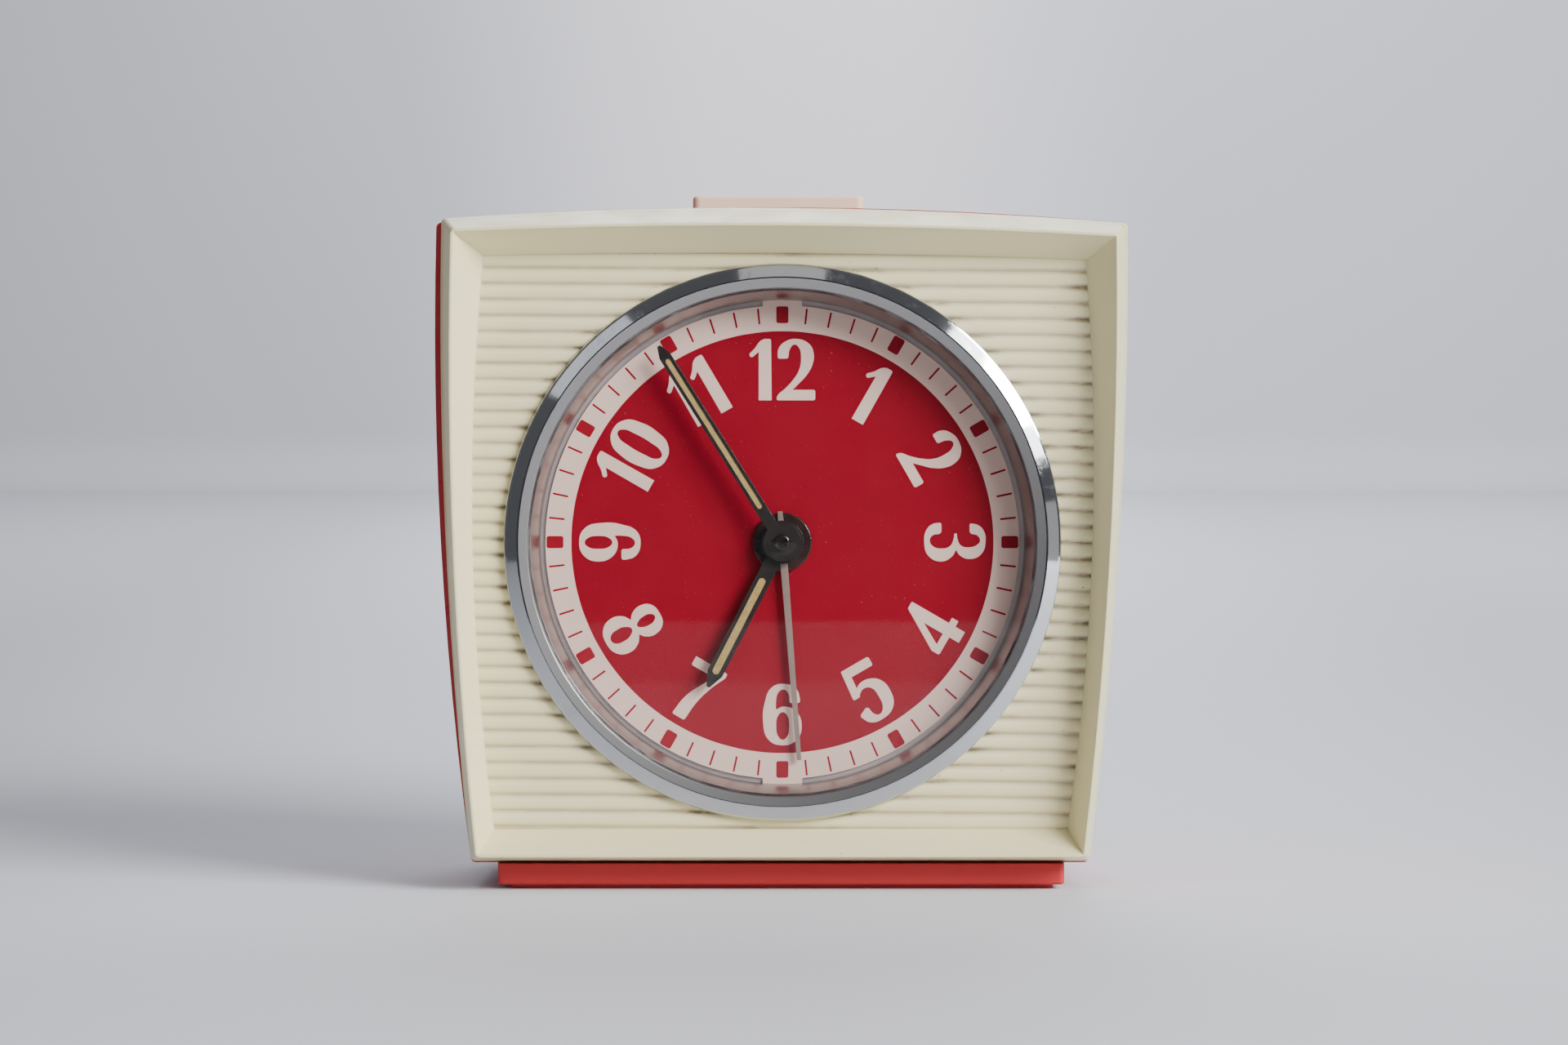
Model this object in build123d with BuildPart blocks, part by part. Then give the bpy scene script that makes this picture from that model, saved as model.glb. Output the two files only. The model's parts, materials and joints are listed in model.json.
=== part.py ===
from build123d import *
import math
import os

# Wind-up alarm clock. +Z is up, the dial faces -Y, the origin is under the middle of the clock.
# All lengths are in millimetres.

# --- driving dimensions -------------------------------------------------------------------
DIAL_Z = 52.5  # height of the dial's centre
RIM_Y = -30.0  # front edge of the bezel
BEZEL_BACK_Y = -22.0  # back of the bezel, front of the case
PANEL_Y = -24.0  # crests of the panel's ribs
RIB_HEIGHT = 0.4
RIB_COUNT = 36
CASE_BACK_Y = 20.0
WALL = 1.9
BOTTOM_Z = 3.9  # top of the plinth, bottom of the case
BEZEL_BOTTOM_Z, RIM_BOTTOM_Z = 4.1, 5.4
BEZEL_TILT = 0.40  # the bezel sits a little askew on the case, in degrees clockwise
LEVEL = 49.0 * math.tan(math.radians(BEZEL_TILT))  # slant that keeps the bezel's bottom edges level
BODY_X = -0.4  # and the case a little to the left of it
SIDE_TOP_Z = 84.8  # height at which the sides are widest

RIM_HALF, RIM_SIDE_R, RIM_TOP_Z, RIM_TOP_R = 50.15, 700.0, 100.35, 960.0
BACK_HALF, BACK_SIDE_R, BACK_TOP_Z, BACK_TOP_R, BACK_WIDEST_Z = 52.2, 740.0, 103.3, 681.0, 92.0
CASE_HALF, CASE_SIDE_R, CASE_TOP_Z, CASE_TOP_R = 52.35, 590.0, 103.35, 580.0
REAR_HALF, REAR_TOP_Z = 51.5, 102.4
PANEL_HALF, PANEL_SIDE_R, PANEL_TOP_Z, PANEL_TOP_R = 46.95, 375.0, 96.2, 1430.0
PANEL_BOTTOM_Z, PANEL_WIDEST_Z = 9.2, 61.5
RIM_WIDTH = 0.4

PLINTH_WIDTH, PLINTH_FRONT_Y, PLINTH_BACK_Y = 85.8, -24.0, 16.0
PLINTH_X, FOOT_HEIGHT, FOOT_INSET = -0.2, 0.7, 1.6  # the plinth stands on a foot set back under it

RING_R, RING_PEAK_R, CRYSTAL_R = 42.15, 40.0, 38.4
THROAT_R, FLARE_R = 37.0, 18.0  # inner wall of the ring and the radius of its outward curve
RING_PEAK_Y = -25.75
DIAL_R, DIAL_FRONT_Y, DIAL_THICK = 36.25, -18.0, 0.4

MINUTE_HAND, HOUR_HAND, ALARM_HAND = 35.3, 24.8, 33.4
MINUTE_ANGLE, HOUR_ANGLE, ALARM_ANGLE = 327.75, 207.2, 175.6  # clockwise from twelve

BUTTON_WIDTH, BUTTON_DEPTH, BUTTON_TOP_Z = 26.9, 7.0, 106.7
BUTTON_X, BUTTON_Y = -0.6, -1.5

PLATE_HALF_X, PLATE_HALF_Z, PLATE_THICK = 34.0, 30.0, 1.2
FRONT_PLATE_Y, REAR_PLATE_Y = -12.0, 6.0  # front faces of the two plates
PILLAR_X, PILLAR_Z = 27.5, 26.5
FIT = 0.05  # radial clearance of a running fit
COVER_Y, COVER_THICK = 20.0, 1.8
KNOB_BACK_Y = 30.0


def turn(angle, distance, start=(0.0, 0.0)):
    """The point at a distance and an angle, counted from +X towards +Z."""
    a = math.radians(angle)
    return (start[0] + distance * math.cos(a), start[1] + distance * math.sin(a))


# arbor positions, measured from the dial's centre
CENTRE = (0.0, 0.0)
MINUTE_WHEEL_AT = turn(180, 12.0)
ALARM_SET_AT = turn(272, 14.5)
TIME_MAIN_AT = turn(212.3, 18.0)
ALARM_MAIN_AT = (-TIME_MAIN_AT[0], TIME_MAIN_AT[1])
THIRD_AT = turn(60, 14.4)
FOURTH_AT = turn(150, 11.9, THIRD_AT)
ESCAPE_AT = turn(190, 10.8, FOURTH_AT)
PALLET_AT = turn(200, 6.6, ESCAPE_AT)
BALANCE_AT = turn(240, 7.5, PALLET_AT)
ALARM_ESCAPE_AT = turn(50, 14.4, ALARM_MAIN_AT)
HAMMER_AT = turn(98, 9.0, ALARM_ESCAPE_AT)
BELL_AT = (8.0, 19.0)


def facing(y, at=CENTRE):
    """A plane facing the viewer at depth y, its origin on an arbor."""
    return Plane(origin=(at[0], y, DIAL_Z + at[1]), x_dir=(1, 0, 0), z_dir=(0, -1, 0))


def lengthwise(at=CENTRE):
    """A plane through an arbor for turned profiles, local x the radius and local y the depth."""
    return Plane(origin=(at[0], 0, DIAL_Z + at[1]), x_dir=(1, 0, 0), z_dir=(0, 0, 1))


def arbor_axis(at=CENTRE):
    return Axis((at[0], 0, DIAL_Z + at[1]), (0, 1, 0))


def save(piece, name):
    piece.part.label = name
    os.makedirs("parts", exist_ok=True)
    export_step(piece.part, f"parts/{name}.step")


def arched(half, side_r, top_z, top_r, widest_z, bottom_z, slant=0.0):
    """Outline with bowed sides, an arched top and a straight bottom, inside a BuildSketch on plane XZ.
    With a slant the bottom's left end is lower by that much and its right end higher."""

    def side(z):
        return half - (widest_z - z) ** 2 / (2 * side_r)

    high = top_z - half**2 / (2 * top_r)
    mid = (high + bottom_z) / 2
    left, right = bottom_z - slant, bottom_z + slant
    with BuildLine() as outline:
        Line((-side(left), left), (side(right), right))
        ThreePointArc((side(right), right), (side(mid), mid), (side(high), high))
        ThreePointArc((side(high), high), (0, top_z), (-side(high), high))
        ThreePointArc((-side(high), high), (-side(mid), mid), (-side(left), left))
    make_face(outline.edges())


def wall_plane(y):
    """A plane facing the viewer whose local y is the height above the table."""
    return Plane(origin=(0, y, 0), x_dir=(1, 0, 0), z_dir=(0, -1, 0))


def bezel_plane(y):
    """As wall_plane, for the bezel, which is turned a little about the dial's centre."""
    a = math.radians(BEZEL_TILT)
    start = (-DIAL_Z * math.sin(a), y, DIAL_Z * (1 - math.cos(a)))
    return Plane(origin=start, x_dir=(math.cos(a), 0, -math.sin(a)), z_dir=(0, -1, 0))


def body_plane(y):
    return Plane(origin=(BODY_X, y, 0), x_dir=(1, 0, 0), z_dir=(0, -1, 0))


def gear(teeth, module, phase, backlash=0.14, addendum=0.7, dedendum=0.95, pressure=25.0):
    """Involute gear outline inside a BuildSketch. A tooth's middle lies at the phase, in degrees."""
    pitch_r = teeth * module / 2
    base_r = pitch_r * math.cos(math.radians(pressure))
    root_r, tip_r = pitch_r - dedendum * module, pitch_r + addendum * module

    def inv(r):
        a = math.acos(min(1.0, base_r / r))
        return math.tan(a) - a

    half_at_pitch = math.pi / (2 * teeth) - backlash * module / (2 * pitch_r)
    first_r = max(base_r, root_r)
    radii = [first_r + (tip_r - first_r) * k / 4 for k in range(5)]
    flank = [(r, max(half_at_pitch + inv(pitch_r) - inv(r), 0.02 / r)) for r in radii]
    if root_r < base_r:
        flank = [(root_r, flank[0][1])] + flank
    points = []
    for n in range(teeth):
        middle = math.radians(phase) + 2 * math.pi * n / teeth
        side = [(r, middle - a) for r, a in flank] + [(r, middle + a) for r, a in reversed(flank)]
        points += [(r * math.cos(a), r * math.sin(a)) for r, a in side]
    with BuildLine() as outline:
        Polyline(*points, close=True)
    make_face(outline.edges())


def sawtooth(teeth, tip_r, root_r, phase=0.0, lean=1):
    """Ratchet outline inside a BuildSketch."""
    points = []
    for n in range(teeth):
        a = math.radians(phase) + 2 * math.pi * n / teeth
        b = a + lean * 1.9 * math.pi / teeth
        points += [(tip_r * math.cos(a), tip_r * math.sin(a)), (root_r * math.cos(b), root_r * math.sin(b))]
    if lean < 0:
        points = [points[0]] + points[:0:-1]
    with BuildLine() as outline:
        Polyline(*points, close=True)
    make_face(outline.edges())


def wheel(teeth, module, phase, y_back, thick, at, bore, spokes=4, hub=2.0, rim=1.6):
    """A toothed wheel with spokes, added to the part in hand. Its back lies at y_back."""
    root_r = teeth * module / 2 - 0.95 * module
    with BuildSketch(facing(y_back, at)) as profile:
        gear(teeth, module, phase)
        if spokes:
            inner, outer = hub, root_r - rim
            with BuildSketch(mode=Mode.PRIVATE) as window:
                Circle(outer)
                Circle(inner, mode=Mode.SUBTRACT)
                with PolarLocations(0, spokes, start_angle=phase):
                    Rectangle(2.2 * outer, 1.3, align=(Align.MIN, Align.CENTER), mode=Mode.SUBTRACT)
            add(window.sketch, mode=Mode.SUBTRACT)
        if bore:
            Circle(bore, mode=Mode.SUBTRACT)
    extrude(profile.sketch, amount=thick)


def shaft(steps, at):
    """Turned steps (front y, back y, radius) added to the part in hand."""
    for front, back, r in steps:
        with BuildSketch(facing(back, at)) as profile:
            Circle(r)
        extrude(profile.sketch, amount=back - front)


def mesh_phase(angle, teeth):
    """The phase of a gear whose tooth gap faces back along a line of centres."""
    return angle + 180 + 180 / teeth


# --- case -----------------------------------------------------------------------------------
with BuildPart() as tray_space:  # what the bezel's tray leaves open, with the ribs standing in it
    with BuildSketch(bezel_plane(RIM_Y)):
        arched(
            RIM_HALF - RIM_WIDTH, RIM_SIDE_R, RIM_TOP_Z - RIM_WIDTH, RIM_TOP_R, SIDE_TOP_Z,
            RIM_BOTTOM_Z + RIM_WIDTH, LEVEL,
        )
    with BuildSketch(bezel_plane(PANEL_Y + RIB_HEIGHT)):
        arched(PANEL_HALF, PANEL_SIDE_R, PANEL_TOP_Z, PANEL_TOP_R, PANEL_WIDEST_Z, PANEL_BOTTOM_Z, LEVEL)
    loft()
    pitch = (PANEL_TOP_Z - PANEL_BOTTOM_Z) / RIB_COUNT
    rib_r = (RIB_HEIGHT**2 + (pitch / 2) ** 2) / (2 * RIB_HEIGHT)
    along = bezel_plane(0).x_dir
    with BuildSketch(Plane(origin=bezel_plane(0).origin - 60 * along, x_dir=(0, 1, 0), z_dir=along)):
        for n in range(RIB_COUNT):
            with Locations((PANEL_Y + rib_r, PANEL_BOTTOM_Z + (n + 0.5) * pitch)):
                Circle(rib_r)
        with Locations((PANEL_Y + RIB_HEIGHT, 0)):
            Rectangle(10, 220, align=(Align.MIN, Align.CENTER), mode=Mode.SUBTRACT)
    extrude(amount=120, mode=Mode.SUBTRACT)

with BuildPart() as front_bezel:
    with BuildSketch(bezel_plane(RIM_Y)):
        arched(RIM_HALF, RIM_SIDE_R, RIM_TOP_Z, RIM_TOP_R, SIDE_TOP_Z, RIM_BOTTOM_Z, LEVEL)
    with BuildSketch(bezel_plane(BEZEL_BACK_Y)):
        arched(BACK_HALF, BACK_SIDE_R, BACK_TOP_Z, BACK_TOP_R, BACK_WIDEST_Z, BEZEL_BOTTOM_Z, LEVEL)
    loft()
    depth = BEZEL_BACK_Y - RIM_Y
    fillet(front_bezel.edges().filter_by(lambda e: e.bounding_box().size.Y > depth - 0.01), 0.8)
    add(tray_space.part, mode=Mode.SUBTRACT)
    with BuildSketch(facing(BEZEL_BACK_Y)):
        Circle(40.6)
    extrude(amount=10, mode=Mode.SUBTRACT)
save(front_bezel, "front_bezel")

with BuildPart() as case_body:
    with BuildSketch(body_plane(BEZEL_BACK_Y)):
        arched(CASE_HALF, CASE_SIDE_R, CASE_TOP_Z, CASE_TOP_R, SIDE_TOP_Z, BOTTOM_Z)
    with BuildSketch(body_plane(CASE_BACK_Y)):
        arched(REAR_HALF, CASE_SIDE_R, REAR_TOP_Z, CASE_TOP_R, SIDE_TOP_Z, BOTTOM_Z)
    loft()
    upright = case_body.edges().filter_by(lambda e: abs(e.tangent_at(0.5).Y) > 0.9)
    fillet(upright, 0.8)
    with BuildSketch(body_plane(BEZEL_BACK_Y - 1)):
        arched(CASE_HALF - WALL, CASE_SIDE_R, CASE_TOP_Z - WALL, CASE_TOP_R, SIDE_TOP_Z, BOTTOM_Z + WALL)
    with BuildSketch(body_plane(CASE_BACK_Y + 1)):
        arched(REAR_HALF - WALL, CASE_SIDE_R, REAR_TOP_Z - WALL, CASE_TOP_R, SIDE_TOP_Z, BOTTOM_Z + WALL)
    loft(mode=Mode.SUBTRACT)
    for side in (-1, 1):  # bosses for the cover screws, webbed to the side walls
        with BuildSketch(body_plane(CASE_BACK_Y)):
            with Locations((side * 43.0, 88.0)):
                Circle(3.2)
            with Locations((side * 46.2, 88.0)):
                Rectangle(9.0, 2.4)
        extrude(amount=12)
        with BuildSketch(body_plane(CASE_BACK_Y)):
            with Locations((side * 43.0, 88.0)):
                Circle(1.2)
        extrude(amount=10, mode=Mode.SUBTRACT)
    with BuildSketch(Plane.XY.offset(98)):  # slot that the stop button slides in
        with Locations((BUTTON_X, BUTTON_Y)):
            RectangleRounded(BUTTON_WIDTH + 0.5, BUTTON_DEPTH + 0.5, 1.4)
    extrude(amount=12, mode=Mode.SUBTRACT)
save(case_body, "case_body")

with BuildPart() as base_plinth:
    depth, middle = PLINTH_BACK_Y - PLINTH_FRONT_Y, (PLINTH_FRONT_Y + PLINTH_BACK_Y) / 2
    with BuildSketch(Plane.XY.offset(FOOT_HEIGHT)):
        with Locations((PLINTH_X, middle)):
            RectangleRounded(PLINTH_WIDTH, depth, 0.8)
    extrude(amount=BOTTOM_Z - FOOT_HEIGHT)
    chamfer(base_plinth.faces().sort_by(Axis.Z)[0].outer_wire().edges(), 0.25)
    with BuildSketch(Plane.XY):
        with Locations((PLINTH_X, middle)):
            RectangleRounded(PLINTH_WIDTH - 2 * FOOT_INSET, depth - 2 * FOOT_INSET, 1.0)
            RectangleRounded(PLINTH_WIDTH - 14, depth - 14, 1.0, mode=Mode.SUBTRACT)
    extrude(amount=FOOT_HEIGHT)
save(base_plinth, "base_plinth")

REGULATOR_REACH = 12.0
with BuildPart() as rear_cover:
    with BuildSketch(body_plane(COVER_Y + COVER_THICK)):
        arched(REAR_HALF - 0.4, CASE_SIDE_R, REAR_TOP_Z - 0.4, CASE_TOP_R, SIDE_TOP_Z, BOTTOM_Z + 0.2)
    extrude(amount=COVER_THICK)
    fillet(rear_cover.edges().filter_by(Axis.Y), 2.2)
    chamfer(rear_cover.faces().sort_by(Axis.Y)[-1].outer_wire().edges(), 0.6)
    with BuildSketch(facing(COVER_Y + COVER_THICK)):
        for at, r in ((CENTRE, 3.2), (ALARM_SET_AT, 2.6), (TIME_MAIN_AT, 3.4), (ALARM_MAIN_AT, 3.4)):
            with Locations(at):
                Circle(r)
    extrude(amount=COVER_THICK, mode=Mode.SUBTRACT)
    with BuildSketch(facing(COVER_Y + COVER_THICK, BALANCE_AT)):  # arc window for the regulator
        with BuildLine():
            outer = CenterArc((0, 0), REGULATOR_REACH + 1.2, 55, 70)
            inner = CenterArc((0, 0), REGULATOR_REACH - 1.2, 55, 70)
            Line(outer @ 0, inner @ 0)
            Line(outer @ 1, inner @ 1)
        make_face()
        with PolarLocations(REGULATOR_REACH, 2, start_angle=55, angular_range=70, endpoint=True):
            Circle(1.2)
    extrude(amount=COVER_THICK, mode=Mode.SUBTRACT)
    with BuildSketch(facing(COVER_Y + COVER_THICK)):  # sound slots
        with Locations((14.0, 33.0)):
            with GridLocations(0, 4.2, 1, 4):
                SlotOverall(26, 1.8)
    extrude(amount=COVER_THICK, mode=Mode.SUBTRACT)
    with BuildSketch(body_plane(COVER_Y + COVER_THICK)):
        with Locations((-43.0, 88.0), (43.0, 88.0)):
            Circle(1.4)
    extrude(amount=COVER_THICK, mode=Mode.SUBTRACT)
save(rear_cover, "rear_cover")

for side, name in ((-1, "cover_screw_left"), (1, "cover_screw_right")):
    with BuildPart() as screw:
        with BuildSketch(body_plane(COVER_Y + COVER_THICK)):
            with Locations((side * 43.0, 88.0)):
                Circle(1.15)
        extrude(amount=9)
        with BuildSketch(body_plane(COVER_Y + COVER_THICK + 1.1)):
            with Locations((side * 43.0, 88.0)):
                Circle(2.4)
        extrude(amount=1.1)
        fillet(screw.faces().sort_by(Axis.Y)[-1].edges(), 0.6)
        with BuildSketch(body_plane(COVER_Y + COVER_THICK + 1.2)):
            with Locations((side * 43.0, 88.0)):
                Rectangle(5.0, 0.6, rotation=side * 25)
        extrude(amount=0.7, mode=Mode.SUBTRACT)
    save(screw, name)

# --- ring, crystal, dial --------------------------------------------------------------------
LEDGE_Y = -24.15  # the crystal rests on this ledge of the ring
FLARE = math.degrees(math.asin((DIAL_FRONT_Y - LEDGE_Y) / FLARE_R))
FLARE_TOP_R = THROAT_R + FLARE_R * (1 - math.cos(math.radians(FLARE)))

with BuildPart() as chrome_ring:
    with BuildSketch(lengthwise()):
        with BuildLine():
            Polyline(
                (FLARE_TOP_R, LEDGE_Y), (CRYSTAL_R + 0.02, LEDGE_Y), (CRYSTAL_R + 0.02, -25.38),
                (CRYSTAL_R + 0.12, -25.5), (RING_PEAK_R - 0.1, RING_PEAK_Y - 0.01),
                (RING_PEAK_R + 0.1, RING_PEAK_Y),
                (RING_R - 0.42, -25.18), (RING_R - 0.12, -25.05), (RING_R, -24.75), (RING_R, PANEL_Y),
                (40.4, PANEL_Y), (40.4, DIAL_FRONT_Y), (THROAT_R, DIAL_FRONT_Y),
            )
            CenterArc((THROAT_R + FLARE_R, DIAL_FRONT_Y), FLARE_R, 180, FLARE)
        make_face()
    revolve(axis=arbor_axis())
save(chrome_ring, "chrome_ring")

DOME_EDGE_R, DOME_EDGE_Y, DOME_Y = CRYSTAL_R - 0.45, -25.35, -26.3
DOME_R = (DOME_EDGE_R**2 + (DOME_EDGE_Y - DOME_Y) ** 2) / (2 * (DOME_EDGE_Y - DOME_Y))
with BuildPart() as crystal:
    with BuildSketch(lengthwise()):
        with BuildLine():
            Polyline(
                (0, DOME_Y), (0, LEDGE_Y), (CRYSTAL_R, LEDGE_Y), (CRYSTAL_R, -24.95),
                (DOME_EDGE_R, DOME_EDGE_Y),
            )
            RadiusArc((DOME_EDGE_R, DOME_EDGE_Y), (0, DOME_Y), DOME_R)
        make_face()
    revolve(axis=arbor_axis())
save(crystal, "crystal")

with BuildPart() as dial:
    with BuildSketch(facing(DIAL_FRONT_Y + DIAL_THICK)):
        Circle(DIAL_R)
        Rectangle(6.0, 2 * 38.6)
        Circle(2.7, mode=Mode.SUBTRACT)
    extrude(amount=DIAL_THICK)
save(dial, "dial")

with BuildPart() as dial_seat:
    with BuildSketch(lengthwise()):
        with BuildLine():
            Polyline(
                (30.5, -17.6), (38.75, -17.6), (38.75, -18.0), (41.0, -18.0), (41.0, BEZEL_BACK_Y),
                (42.4, BEZEL_BACK_Y), (42.4, -16.4), (30.5, -16.4), close=True,
            )
        make_face()
    revolve(axis=arbor_axis())
save(dial_seat, "dial_seat")

# --- hands ----------------------------------------------------------------------------------


def hand_plane(y, clock_angle):
    """A plane at depth y whose local y points along a hand."""
    a = math.radians(clock_angle)
    return Plane(origin=(0, y, DIAL_Z), x_dir=(math.cos(a), 0, -math.sin(a)), z_dir=(0, -1, 0))


def baton(length, width, point, boss):
    """Baton hand with a pointed tip around a round boss, inside a BuildSketch."""
    with BuildLine() as outline:
        Polyline(
            (-width / 2, 0), (width / 2, 0), (width / 2, length - point), (0.25, length), (-0.25, length),
            (-width / 2, length - point), close=True,
        )
    make_face(outline.edges())
    Circle(boss)


def inlay(start, end, width):
    """The window for a hand's luminous inlay, inside a BuildSketch."""
    with Locations((0, (start + end) / 2)):
        SlotOverall(end - start, width, rotation=90)


HAND_THICK = 0.35
HANDS = (
    ("minute", MINUTE_ANGLE, -20.9, MINUTE_HAND, 1.87, 1.75, 2.95, 6.1, 32.9, 0.79, 0.75),
    ("hour", HOUR_ANGLE, -19.9, HOUR_HAND, 2.44, 2.3, 3.3, 6.2, 22.6, 1.12, 1.8),
)
for kind, angle, y_back, length, width, point, boss, start, end, lume_width, bore in HANDS:
    with BuildPart() as hand:
        with BuildSketch(hand_plane(y_back, angle)):
            baton(length, width, point, boss)
            inlay(start, end, lume_width)
            Circle(bore, mode=Mode.SUBTRACT)
        extrude(amount=HAND_THICK)
        with BuildSketch(hand_plane(y_back, angle)):
            inlay(start, end, lume_width)
        extrude(amount=HAND_THICK, mode=Mode.SUBTRACT)
    save(hand, f"{kind}_hand")
    with BuildPart() as lume:
        with BuildSketch(hand_plane(y_back - 0.02, angle)):
            inlay(start, end, lume_width)
        extrude(amount=HAND_THICK - 0.1)
    save(lume, f"{kind}_lume")

with BuildPart() as alarm_hand:
    with BuildSketch(hand_plane(-18.85, ALARM_ANGLE)):
        with BuildLine():
            Polyline(
                (-0.6, 0), (-0.36, -4.72), (0.36, -4.72), (0.6, 0), (0.33, ALARM_HAND), (-0.33, ALARM_HAND),
                close=True,
            )
        make_face()
        Circle(2.8)
        Circle(2.4, mode=Mode.SUBTRACT)
    extrude(amount=0.3)
save(alarm_hand, "alarm_hand")

with BuildPart() as alarm_disc:
    with BuildSketch(facing(-18.35)):
        Circle(4.5)
        Circle(2.4, mode=Mode.SUBTRACT)
    extrude(amount=0.5)
    fillet(alarm_disc.faces().sort_by(Axis.Y)[0].outer_wire().edges(), 0.2)
save(alarm_disc, "alarm_disc")

# --- centre arbor and motion work -------------------------------------------------------------
with BuildPart() as centre_arbor:
    shaft(
        [(-22.1, 24.0, 0.75), (-21.8, -21.27, 0.75), (REAR_PLATE_Y + PLATE_THICK + 0.2, 10.0, 1.6)],
        CENTRE,
    )
save(centre_arbor, "centre_arbor")

with BuildPart() as hand_nut:
    with BuildSketch(lengthwise()):
        with BuildLine():
            Polyline((0.75, -21.27), (1.2, -21.27), (1.2, -21.95))
            ThreePointArc((1.2, -21.95), (1.08, -22.15), (0.75, -22.25))
            Line((0.75, -22.25), (0.75, -21.27))
        make_face()
    revolve(axis=arbor_axis())
save(hand_nut, "hand_nut")

CANNON_R, HOUR_PIPE_R, ALARM_PIPE_R = 1.2, 1.8, 2.4
with BuildPart() as cannon_pinion:
    with BuildSketch(facing(-12.2)):
        gear(12, 0.5, 180)
        Circle(0.75, mode=Mode.SUBTRACT)
    extrude(amount=1.6)
    with BuildSketch(facing(-13.8)):
        Circle(CANNON_R)
        Circle(0.75, mode=Mode.SUBTRACT)
    extrude(amount=7.1)
save(cannon_pinion, "cannon_pinion")

with BuildPart() as minute_wheel:
    wheel(36, 0.5, mesh_phase(180, 36), -12.8, 0.8, MINUTE_WHEEL_AT, 0)
    with BuildSketch(facing(-13.6, MINUTE_WHEEL_AT)):
        gear(10, 0.48, 0)
    extrude(amount=1.8)
    shaft([(-15.8, FRONT_PLATE_Y + 0.9, 0.6)], MINUTE_WHEEL_AT)
save(minute_wheel, "minute_wheel")

with BuildPart() as hour_wheel:
    wheel(40, 0.48, mesh_phase(0, 40), -14.3, 0.8, CENTRE, CANNON_R + FIT, hub=3.2)
    with BuildSketch(facing(-15.1)):
        Circle(HOUR_PIPE_R)
        Circle(CANNON_R + FIT, mode=Mode.SUBTRACT)
    extrude(amount=5.2)
save(hour_wheel, "hour_wheel")

with BuildPart() as alarm_wheel:
    wheel(48, 0.5, 272, -15.9, 0.7, CENTRE, HOUR_PIPE_R + FIT, hub=3.6)
    with BuildSketch(facing(-16.6)):
        Circle(ALARM_PIPE_R)
        Circle(HOUR_PIPE_R + FIT, mode=Mode.SUBTRACT)
    extrude(amount=2.6)
save(alarm_wheel, "alarm_wheel")

with BuildPart() as alarm_set_arbor:
    with BuildSketch(facing(-15.4, ALARM_SET_AT)):
        gear(10, 0.5, mesh_phase(272, 10))
    extrude(amount=1.6)
    shaft([(-17.0, 24.0, 0.75), (REAR_PLATE_Y + PLATE_THICK + 0.2, 10.0, 1.5)], ALARM_SET_AT)
save(alarm_set_arbor, "alarm_set_arbor")

# --- knobs and keys ---------------------------------------------------------------------------


def knob(at, radius, name):
    """Ribbed setting knob pressed on the rear end of an arbor."""
    with BuildPart() as piece:
        with BuildSketch(facing(KNOB_BACK_Y, at)):
            Circle(radius)
            with PolarLocations(radius, 24):
                Circle(0.28, mode=Mode.SUBTRACT)
        extrude(amount=5.5)
        fillet(piece.faces().sort_by(Axis.Y)[-1].outer_wire().edges(), 0.25)
        with BuildSketch(facing(KNOB_BACK_Y - 5.5, at)):
            Circle(2.2)
        extrude(amount=3.0)
        with BuildSketch(facing(24.0, at)):
            Circle(0.75)
        extrude(amount=4.0, mode=Mode.SUBTRACT)
    save(piece, name)


knob(CENTRE, 5.0, "hand_setting_knob")
knob(ALARM_SET_AT, 4.0, "alarm_setting_knob")


def winding(at, kind, lean):
    """Main arbor, ratchet wheel, click and wing key of one mainspring."""
    with BuildPart() as arbor:
        shaft([(FRONT_PLATE_Y + 0.2, 23.5, 1.3), (-6.4, 5.6, 2.4)], at)
    save(arbor, f"{kind}_main_arbor")
    with BuildPart() as ratchet:
        with BuildSketch(facing(REAR_PLATE_Y + PLATE_THICK + 1.5, at)):
            sawtooth(18, 5.2, 4.3, 0, lean)
            Circle(1.3, mode=Mode.SUBTRACT)
        extrude(amount=1.2)
    save(ratchet, f"{kind}_ratchet")
    with BuildPart() as click:
        with BuildSketch(facing(REAR_PLATE_Y + PLATE_THICK + 1.4, (at[0], at[1] - 9.0))):
            Circle(1.5)
            with BuildLine():
                Polyline(
                    (-lean * 1.2, 0.9), (lean * 1.3, -0.6), (lean * 3.4, 4.1), (lean * 2.6, 4.35), close=True
                )
            make_face()
        extrude(amount=1.0)
        with BuildSketch(facing(REAR_PLATE_Y + PLATE_THICK + 1.9, (at[0], at[1] - 9.0))):
            Circle(0.9)
        extrude(amount=1.9)
    save(click, f"{kind}_click")
    with BuildPart() as key:
        with BuildSketch(facing(25.0, at)):
            Circle(2.9)
        extrude(amount=4.5)
        with BuildSketch(facing(23.5, at)):
            Circle(1.3)
        extrude(amount=4.0, mode=Mode.SUBTRACT)
        with BuildSketch(Plane(origin=(at[0], 0, DIAL_Z + at[1] - 0.8), x_dir=(1, 0, 0), z_dir=(0, 0, 1))):
            with BuildLine():
                Polyline((-2.4, 23.6), (2.4, 23.6), (4.2, 24.6), (9.6, 25.6), (9.6, 28.6), (8.2, KNOB_BACK_Y),
                         (5.0, 29.4), (2.0, 27.4), (-2.0, 27.4), (-5.0, 29.4), (-8.2, KNOB_BACK_Y),
                         (-9.6, 28.6), (-9.6, 25.6), (-4.2, 24.6), close=True)
            make_face()
        extrude(amount=1.6)
    save(key, f"{kind}_winding_key")


winding(TIME_MAIN_AT, "time", 1)
winding(ALARM_MAIN_AT, "alarm", -1)


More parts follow.
